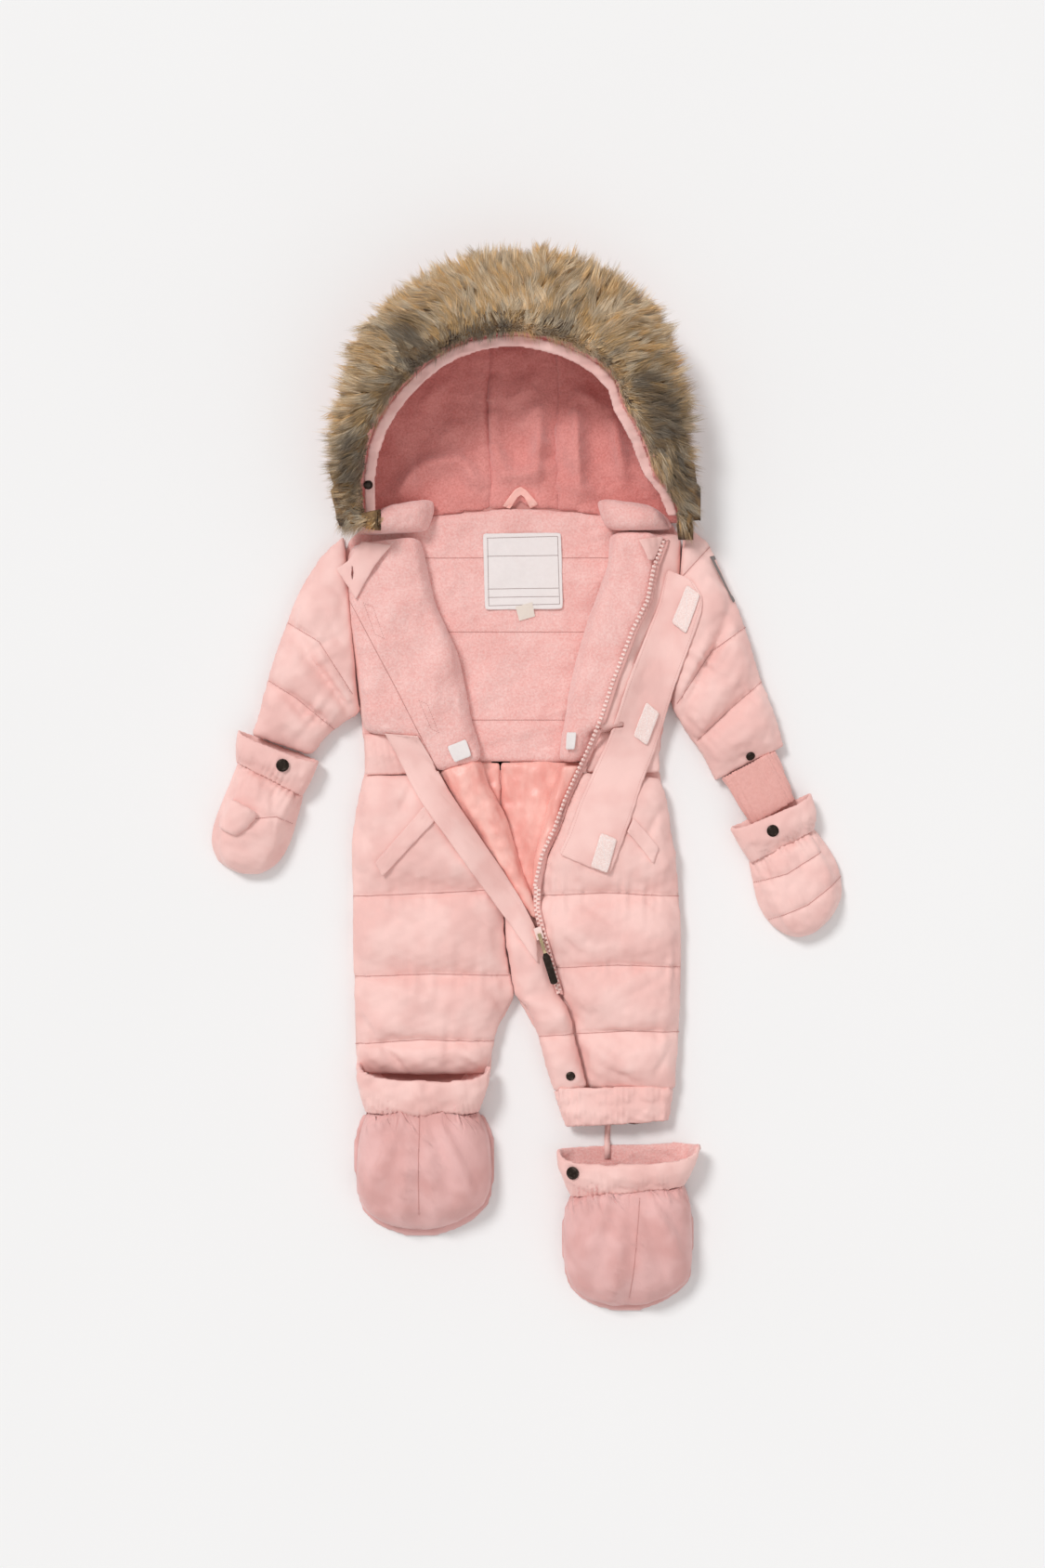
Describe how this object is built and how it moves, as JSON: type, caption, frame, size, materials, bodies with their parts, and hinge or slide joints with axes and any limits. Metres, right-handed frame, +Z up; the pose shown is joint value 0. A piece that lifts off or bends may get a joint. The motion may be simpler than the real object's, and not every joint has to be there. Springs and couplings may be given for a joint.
{
  "type": "baby snowsuit",
  "caption": "Padded hooded baby snowsuit laid open, with a fur-trimmed hood, a diagonal zip, detachable mittens and booties.",
  "frame": {"origin": "middle of the suit's outline, on the surface that it lies on", "axes": "+Y towards the hood, +X to the viewer's right, +Z up from the surface"},
  "size_m": [0.68, 1.1376, 0.126],
  "materials": {
    "shell": "matt woven shell over wadding, dusty pink",
    "fleece": "short-pile fleece, pink",
    "satin_lining": "shiny quilted lining, salmon",
    "faux_fur": "long-haired faux fur, golden tan with grey and dark brown tips",
    "label_ribbon": "white satin ribbon",
    "grey_label": "grey woven ribbon",
    "hook_tape": "pale pink hook tape",
    "rib_knit": "fine rib knit, pink",
    "zip_resin": "moulded resin zip, pale pink",
    "dark_metal": "gunmetal press studs and zip pull"
  },
  "bodies": {
    "suit": {"hood_side_left": "fleece", "hood_crown": "fleece", "hood_side_right": "fleece", "hood_facing": "shell", "fur_trim": "faux_fur", "back_upper": "fleece", "back_leg_left": "satin_lining", "back_leg_right": "satin_lining", "sleeve_left_back": "shell", "sleeve_left_front": "shell", "sleeve_right_back": "shell", "sleeve_right_front": "shell", "front_upper_left": "fleece", "front_upper_right": "fleece", "waistband_left": "shell", "waistband_right": "shell", "front_leg_left": "shell", "front_leg_right_inner": "shell", "front_leg_right": "shell", "front_lining_left": "satin_lining", "front_lining_right": "satin_lining", "wind_flap": "shell", "zip_chain": "zip_resin", "storm_flap": "shell", "hook_tape_1": "hook_tape", "hook_tape_2": "hook_tape", "hook_tape_3": "hook_tape", "main_label": "label_ribbon", "elastic_tab_left": "label_ribbon", "elastic_tab_right": "label_ribbon", "sleeve_label": "grey_label", "pocket_welt_left": "shell", "pocket_welt_right": "shell", "collar_facing_left": "shell", "collar_facing_right": "shell", "hanging_loop": "shell", "collar_left": "fleece", "collar_right": "fleece", "rib_cuff": "rib_knit", "mitten_left_cuff": "shell", "mitten_right_cuff": "shell", "mitten_left_hand": "shell", "mitten_right_hand": "shell", "mitten_left_thumb": "shell", "bootie_left_cuff": "shell", "bootie_right_cuff": "shell", "bootie_left_sole": "shell", "bootie_right_sole": "shell", "bootie_left_upper": "shell", "bootie_right_upper": "shell", "hem_band": "shell", "tether": "shell", "stud_hood": "dark_metal", "stud_mitten_left": "dark_metal", "stud_mitten_right": "dark_metal", "stud_sleeve": "dark_metal", "stud_leg": "dark_metal", "stud_bootie": "dark_metal", "zip_slider": "zip_resin"},
    "pull": {"zip_pull": "dark_metal"}
  },
  "joints": [
    {"name": "pull_hinge", "type": "hinge", "parent": "suit", "child": "pull", "pos_m": [0.013, -0.1585, 0.03134], "axis": [-0.9538, -0.3004, 0], "range_deg": [0, 150]}
  ]
}
